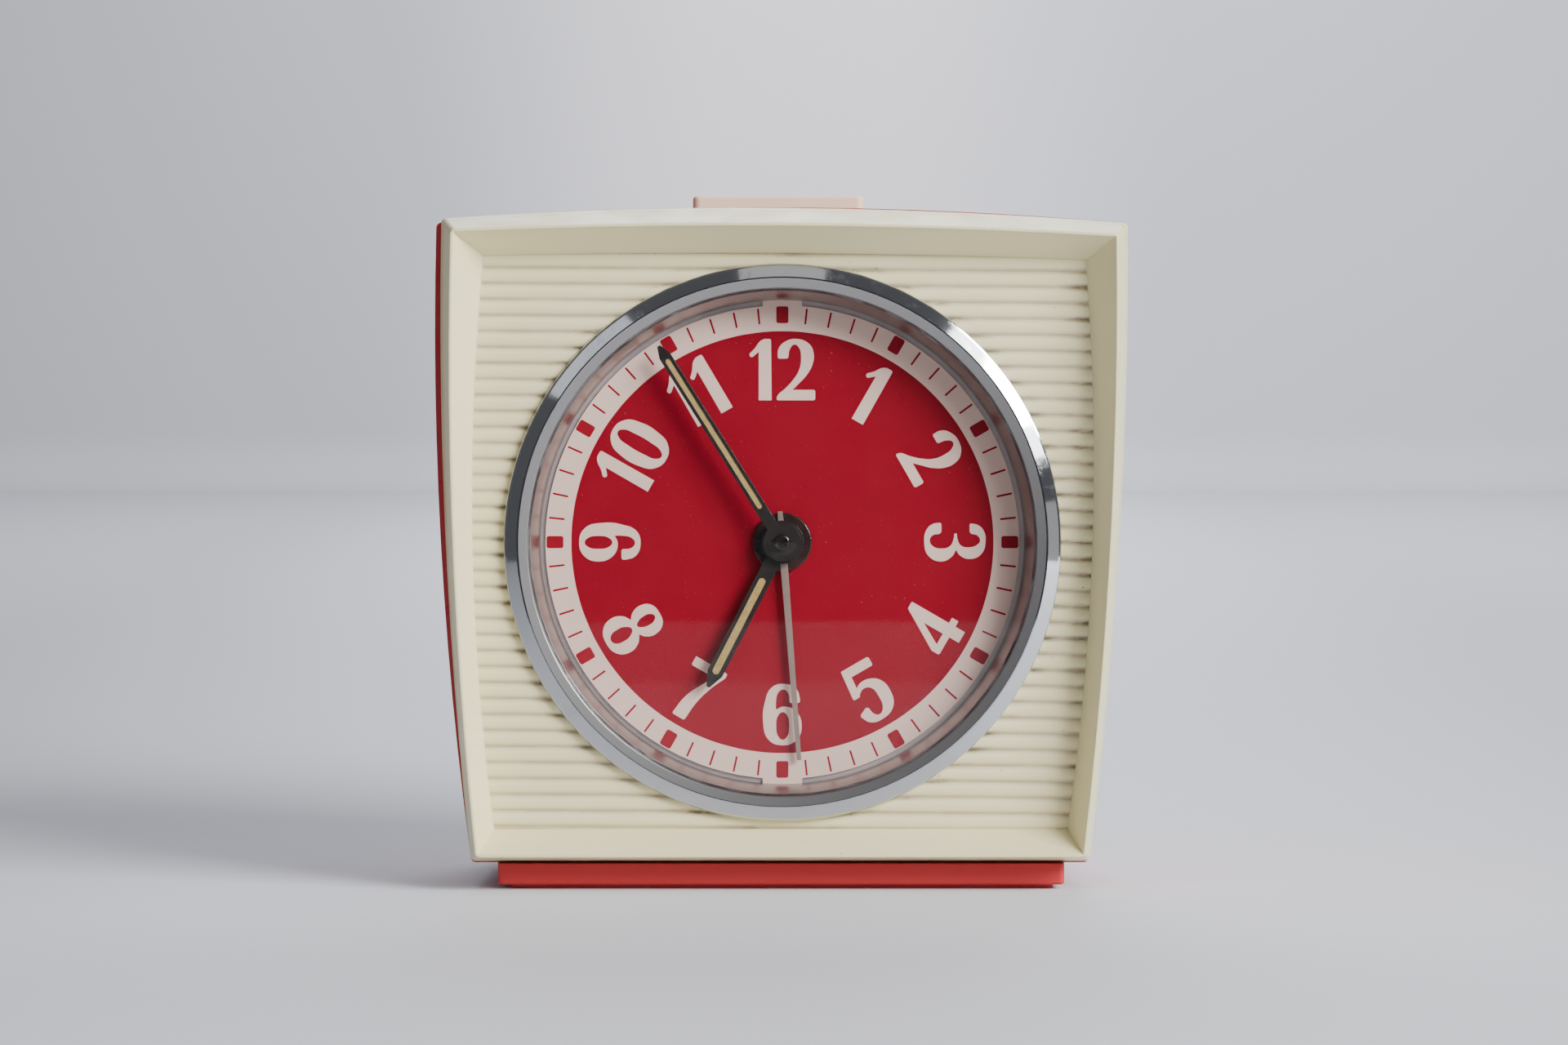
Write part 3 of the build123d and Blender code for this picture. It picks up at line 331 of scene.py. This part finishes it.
def printed(name, shapes, material, lift, thick):
    """Flat printing on the dial from closed outlines in millimetres, x to the right and y up from
    the dial's middle. A point is (x, y) for a corner or (x, y, 1) for a smooth one."""
    curve = bpy.data.curves.new(name, "CURVE")
    curve.dimensions = "2D"
    curve.fill_mode = "BOTH"
    curve.resolution_u = 10
    curve.extrude = thick * MM / 2
    for points in shapes:
        sp = curve.splines.new("BEZIER")
        sp.bezier_points.add(len(points) - 1)
        sp.use_cyclic_u = True
        for bp, p in zip(sp.bezier_points, points):
            bp.co = (p[0] * MM, p[1] * MM, 0)
            kind = "AUTO" if len(p) > 2 else "VECTOR"
            bp.handle_left_type = bp.handle_right_type = kind
    ob = bpy.data.objects.new(name, curve)
    bpy.context.scene.collection.objects.link(ob)
    middle = (DIAL_X, DIAL_FACE - (lift + thick / 2) * MM, DIAL_Z)
    ob.matrix_world = Matrix.Translation(middle) @ Matrix.Rotation(math.pi / 2, 4, "X")
    bpy.context.view_layer.update()
    mesh = bpy.data.meshes.new_from_object(ob.evaluated_get(bpy.context.evaluated_depsgraph_get()))
    mesh.transform(ob.matrix_world)
    bpy.data.objects.remove(ob)
    solid = bpy.data.objects.new(name, mesh)
    bpy.context.scene.collection.objects.link(solid)
    mesh.materials.clear()
    mesh.materials.append(material.mat)
    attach(solid, "clock")


def circle(r, n=48):
    return [(r * math.cos(2 * math.pi * k / n), r * math.sin(2 * math.pi * k / n), 1) for k in range(n)]


def placed(points, clock, r, scale, width, flip):
    """A figure's outline, drawn 100 high, set on the dial at a clock angle."""
    a = math.radians(clock)
    spin = a + (math.pi if flip else 0)
    cx, cy = r * math.sin(a), r * math.cos(a)
    made = []
    for p in points:
        u, v = (p[0] - width / 2) * scale, (p[1] - 50) * scale
        x = u * math.cos(spin) + v * math.sin(spin)
        y = -u * math.sin(spin) + v * math.cos(spin)
        made.append((cx + x, cy + y, *p[2:]))
    return made


S = 1  # marks a smooth point; the figures are drawn 100 high, upright, from their lower left corner
ZERO = [[(31.5, 100, S), (54, 90, S), (63, 66, S), (63, 34, S), (54, 10, S), (31.5, 0, S), (9, 10, S),
         (0, 34, S), (0, 66, S), (9, 90, S)],
        [(31.5, 91, S), (39, 85, S), (42.5, 66, S), (42.5, 34, S), (39, 15, S), (31.5, 9, S), (24, 15, S),
         (20.5, 34, S), (20.5, 66, S), (24, 85, S)]]
ONE = [[(15, 0), (36, 0), (35, 98), (33, 100), (24, 100), (17, 96, S), (8, 84, S), (0, 76), (0, 73),
        (2, 70.5), (5, 70.5), (15, 79)]]
TWO = [[(0, 2), (2, 0), (61, 0), (63, 2), (63, 15), (61, 17), (26, 17), (36, 27, S), (49, 41, S),
        (59, 60, S), (60.5, 76, S), (54, 91, S), (34, 100, S), (13, 95, S), (3, 83, S), (2, 70), (4, 68),
        (17, 68), (19, 70), (22, 84, S), (29.5, 91, S), (37, 85, S), (40, 70, S), (37, 50, S), (26, 32, S),
        (14, 19, S), (2, 8, S)]]
THREE = [[(0, 26), (2, 28), (15, 28), (18, 25), (21, 13, S), (29, 9, S), (38, 14, S), (42, 28, S),
          (38, 42, S), (26, 48, S), (18, 49), (17, 51), (18, 53), (26, 54, S), (37, 60, S), (40, 74, S),
          (36, 86, S), (29, 91, S), (21, 87, S), (18, 77), (15, 74), (3, 74), (1, 76), (4, 88, S),
          (13, 97, S), (30, 100, S), (51, 93, S), (59, 75, S), (53, 58, S), (44, 52), (56, 44, S),
          (63, 27, S), (54, 7, S), (31, 0, S), (11, 4, S), (2, 14, S)]]
FOUR = [[(33, 0), (53, 0), (53, 18), (63, 18), (63, 30), (53, 30), (53, 99), (51, 100), (41, 100), (39, 98),
         (0, 32), (0, 20), (2, 18), (33, 18)],
        [(33, 30), (13, 30), (33, 66)]]
FIVE = [[(8, 100), (57, 100), (59, 98), (59, 86), (57, 84), (19, 84), (17, 64), (28, 69, S), (44, 67, S),
         (58, 56, S), (63, 35, S), (54, 9, S), (29, 0, S), (9, 5, S), (0, 19), (1, 23), (14, 29), (18, 27),
         (22, 13, S), (29, 9, S), (38, 15, S), (42, 35, S), (38, 53, S), (27, 58, S), (18, 54, S), (14, 49),
         (4, 49), (3, 52)]]
SIX = [[(33, 100, S), (53, 93, S), (60, 76, S), (60, 71), (58, 69), (45, 69), (43, 71), (41, 85, S),
        (33, 91, S), (25, 86, S), (21, 70, S), (21, 58), (34, 63, S), (54, 55, S), (63, 31, S), (54, 8, S),
        (31, 0, S), (9, 9, S), (0, 40, S), (3, 70, S), (14, 94, S)],
       [(32, 54, S), (39, 49, S), (42.5, 31, S), (39, 14, S), (32, 9, S), (25, 14, S), (21.5, 31, S),
        (25, 49, S)]]
SEVEN = [[(3, 100), (60, 100), (62, 98), (62, 92), (50, 66, S), (41, 35, S), (38, 2), (36, 0), (17, 0),
          (15, 2), (20, 34, S), (34, 64, S), (46, 84), (5, 84), (3, 86)]]
EIGHT = [[(31.5, 100, S), (50, 95, S), (58, 77, S), (53, 61, S), (45, 54), (57, 45, S), (63, 27, S),
          (54, 7, S), (31.5, 0, S), (9, 7, S), (0, 27, S), (6, 45, S), (18, 54), (10, 61, S), (5, 77, S),
          (13, 95, S)],
         [(31.5, 91, S), (38, 86, S), (40, 76, S), (37, 63, S), (31.5, 58, S), (26, 63, S), (23, 76, S),
          (25, 86, S)],
         [(31.5, 48, S), (39, 42, S), (42.5, 27, S), (39, 13, S), (31.5, 9, S), (24, 13, S), (20.5, 27, S),
          (24, 42, S)]]
NINE = [[(63 - p[0], 100 - p[1], *p[2:]) for p in s] for s in SIX]
WIDE, NARROW = 63, 36
FIGURES = {1: [(ONE, NARROW)], 2: [(TWO, WIDE)], 3: [(THREE, WIDE)], 4: [(FOUR, WIDE)], 5: [(FIVE, WIDE)],
           6: [(SIX, WIDE)], 7: [(SEVEN, WIDE)], 8: [(EIGHT, WIDE)], 9: [(NINE, WIDE)],
           10: [(ONE, NARROW), (ZERO, WIDE)], 11: [(ONE, NARROW), (ONE, NARROW)],
           12: [(ONE, NARROW), (TWO, WIDE)]}
HIGH = 0.259 * DIAL_R / MM  # height of a figure
FIGURE_R = 0.728 * DIAL_R / MM  # radius of its middle
GAP = 8  # between the two figures of 10, 11 and 12
unit = HIGH / 100
numerals = []
for hour, figures in FIGURES.items():
    flip = 4 <= hour <= 8  # the lower figures stand with their feet outwards
    total = sum(w for _, w in figures) + GAP * (len(figures) - 1)
    start = 0.0
    for outlines, w in figures:
        for points in outlines:
            shifted = [(p[0] + start, *p[1:]) for p in points]
            numerals.append(placed(shifted, hour * 30, FIGURE_R, unit, total, flip))
        start += w + GAP
printed("dial_numerals", numerals, print_white, 0.0, PRINT_THICK)

track_in, track_out = 0.8905 * DIAL_R / MM, DIAL_R / MM - 0.03
printed("minute_track", [circle(track_out), circle(track_in)], print_white, 0.0, PRINT_THICK)
tab_half, tab_end = 3.0, (dial_high.z - dial_low.z) / 2 / MM
for name, side in (("upper_tab_print", 1), ("lower_tab_print", -1)):
    arc = [math.asin(tab_half / track_out) * (1 - 2 * k / 6) for k in range(7)]
    rim = [(track_out * math.sin(a), side * (track_out + 0.01) * math.cos(a)) for a in arc]
    tab = [(-tab_half, side * tab_end), (tab_half, side * tab_end)] + rim
    printed(name, [tab], print_white, 0.0, PRINT_THICK)

# each mark is a bar with cut corners: how far out it reaches, its half width and its corners' cut
MARK_IN = 0.924
MINUTE_MARK, HOUR_MARK = (0.990, 0.15, 0.05), (0.995, 0.93, 0.22)
marks = []
for minute in range(60):
    a = math.radians(minute * 6)
    reach, half, c = MINUTE_MARK if minute % 5 else HOUR_MARK
    r0, r1 = MARK_IN * DIAL_R / MM, reach * DIAL_R / MM
    corners = [(-half, r0 + c), (-half + c, r0), (half - c, r0), (half, r0 + c),
               (half, r1 - c), (half - c, r1), (-half + c, r1), (-half, r1 - c)]
    marks.append([(u * math.cos(a) + v * math.sin(a), -u * math.sin(a) + v * math.cos(a))
                  for u, v in corners])
printed("minute_marks", marks, mark_red, PRINT_THICK, MARK_THICK)

# ------------------------------------------------------------------------------ stage
ground = Mat("ground", (0.72, 0.735, 0.775), 0.62)
ground.tint(ground.ramp(ground.noise(3.0, 4.0), 0.3, 0.7, 0.0, 0.25), (0.69, 0.705, 0.75))
# a warmer wall, and a falloff that is painted on: floor and wall are darker in front of the clock and to
# both sides, most to the left
WALL_Z, FRONT, LEFT, RIGHT = (0.075, 0.125), (-0.17, -0.03), (-0.24, -0.03), (0.05, 0.24)
ground.tint(ground.ramp(ground.axis(2), *WALL_Z), (0.72, 0.705, 0.735))
ground.tint(ground.ramp(ground.axis(1), *FRONT, 1.0, 0.0), (0.60, 0.61, 0.64))
ground.tint(ground.ramp(ground.axis(0), *LEFT, 1.0, 0.0), (0.47, 0.48, 0.505))
ground.tint(ground.ramp(ground.axis(0), *RIGHT), (0.52, 0.535, 0.565))
# level under the clock, then a slow rise of three degrees to the foot of the wall
NEAR_Y, RISE_Y, FOOT_Y, HALF_WIDTH, WALL_TOP = -0.70, 0.06, 1.45, 2.6, 3.0
RISE, CORNER = math.tan(math.radians(3.0)), 0.035
profile = [(y, 0.0) for y in (NEAR_Y, -0.4, -0.1, 0.04)]
profile += [(y, RISE * (y - RISE_Y)) for y in (0.10, 0.4, 0.8, 1.2, FOOT_Y)]
corner_z = RISE * (FOOT_Y - RISE_Y)
profile += [(FOOT_Y + CORNER * math.sin(t), corner_z + CORNER * (1 - math.cos(t)))
            for t in [math.pi / 2 * k / 8 for k in range(1, 9)]]
profile += [(FOOT_Y + CORNER, WALL_TOP)]
verts, faces = [], []
for y, z in profile:
    verts += [(-HALF_WIDTH, y, z), (HALF_WIDTH, y, z)]
for k in range(len(profile) - 1):
    faces.append((2 * k, 2 * k + 1, 2 * k + 3, 2 * k + 2))
mesh = bpy.data.meshes.new("ground")
mesh.from_pydata(verts, [], faces)
for p in mesh.polygons:
    p.use_smooth = True
mesh.materials.append(ground.mat)
floor = bpy.data.objects.new("ground", mesh)
bpy.context.scene.collection.objects.link(floor)

# the room: dim in front of the clock, so that crystal and ring stay dark, and brighter behind it
world = bpy.data.worlds.new("room")
world.use_nodes = True
bpy.context.scene.world = world
wt = world.node_tree
sky = wt.nodes["Background"]
sky.inputs[0].default_value = (0.96, 0.98, 1.05, 1)
way = wt.nodes.new("ShaderNodeSeparateXYZ")
wt.links.new(wt.nodes.new("ShaderNodeTexCoord").outputs["Generated"], way.inputs[0])
glow = wt.nodes.new("ShaderNodeMapRange")
glow.interpolation_type = "LINEAR"
for key, value in (("From Min", -0.97), ("From Max", 0.3), ("To Min", 0.06), ("To Max", 0.46)):
    glow.inputs[key].default_value = value
wt.links.new(way.outputs[1], glow.inputs["Value"])
wt.links.new(glow.outputs["Result"], sky.inputs[1])


def lamp(name, at, aim, size, power, colour, size_y=None):
    data = bpy.data.lights.new(name, "AREA")
    data.shape = "RECTANGLE"
    data.size = size
    data.size_y = size_y or size
    data.energy = power
    data.color = colour
    ob = bpy.data.objects.new(name, data)
    ob.location = at
    ob.rotation_euler = (Vector(aim) - Vector(at)).to_track_quat("-Z", "Y").to_euler()
    bpy.context.scene.collection.objects.link(ob)


# a large window to the right and in front, small panes that the ring mirrors, and light on the wall and
# the far floor
mid = Vector((0, 0, 0.05))
lamp("window", (1.03, -0.84, 0.74), mid, 0.74, 38.0, (1.0, 1.0, 1.03), 0.54)
lamp("pane", (0.66, -0.87, 0.50), mid, 0.46, 5.0, (1.0, 1.0, 1.02), 0.42)
lamp("far_pane", (-0.55, -0.87, 0.60), mid, 0.26, 0.20, (0.96, 0.98, 1.06), 0.26)
lamp("high_pane", (0.0, -0.85, 0.86), mid, 0.26, 0.13, (1.0, 0.98, 0.94), 0.26)
lamp("low_pane", (0.80, -0.88, 0.04), mid, 0.24, 0.09, (1.0, 1.0, 1.0), 0.26)
lamp("sky_fill", (0.10, 1.0, 0.90), (0.10, 0.95, 0), 0.7, 8.2, (0.96, 0.98, 1.05))
lamp("wall_wash", (0.10, 0.85, 0.80), (0.10, 1.48, 0.20), 0.8, 3.0, (1.0, 0.97, 1.02))

# ------------------------------------------------------------------------------ camera
FOCAL = 80.6
camera_data = bpy.data.cameras.new("camera")
camera_data.lens = FOCAL
camera_data.sensor_width = 36.0
camera_data.sensor_fit = "HORIZONTAL"
camera_data.clip_start = 0.01
camera = bpy.data.objects.new("camera", camera_data)
bpy.context.scene.collection.objects.link(camera)
bpy.context.scene.camera = camera
REACH, SIDE, HEIGHT = 0.537, 0.00025, 0.0030  # in front of the dial, to the right of and above its middle
camera.location = (DIAL_X + SIDE, DIAL_FACE - REACH, DIAL_Z + HEIGHT)
camera.rotation_euler = (math.pi / 2, 0, 0)  # level
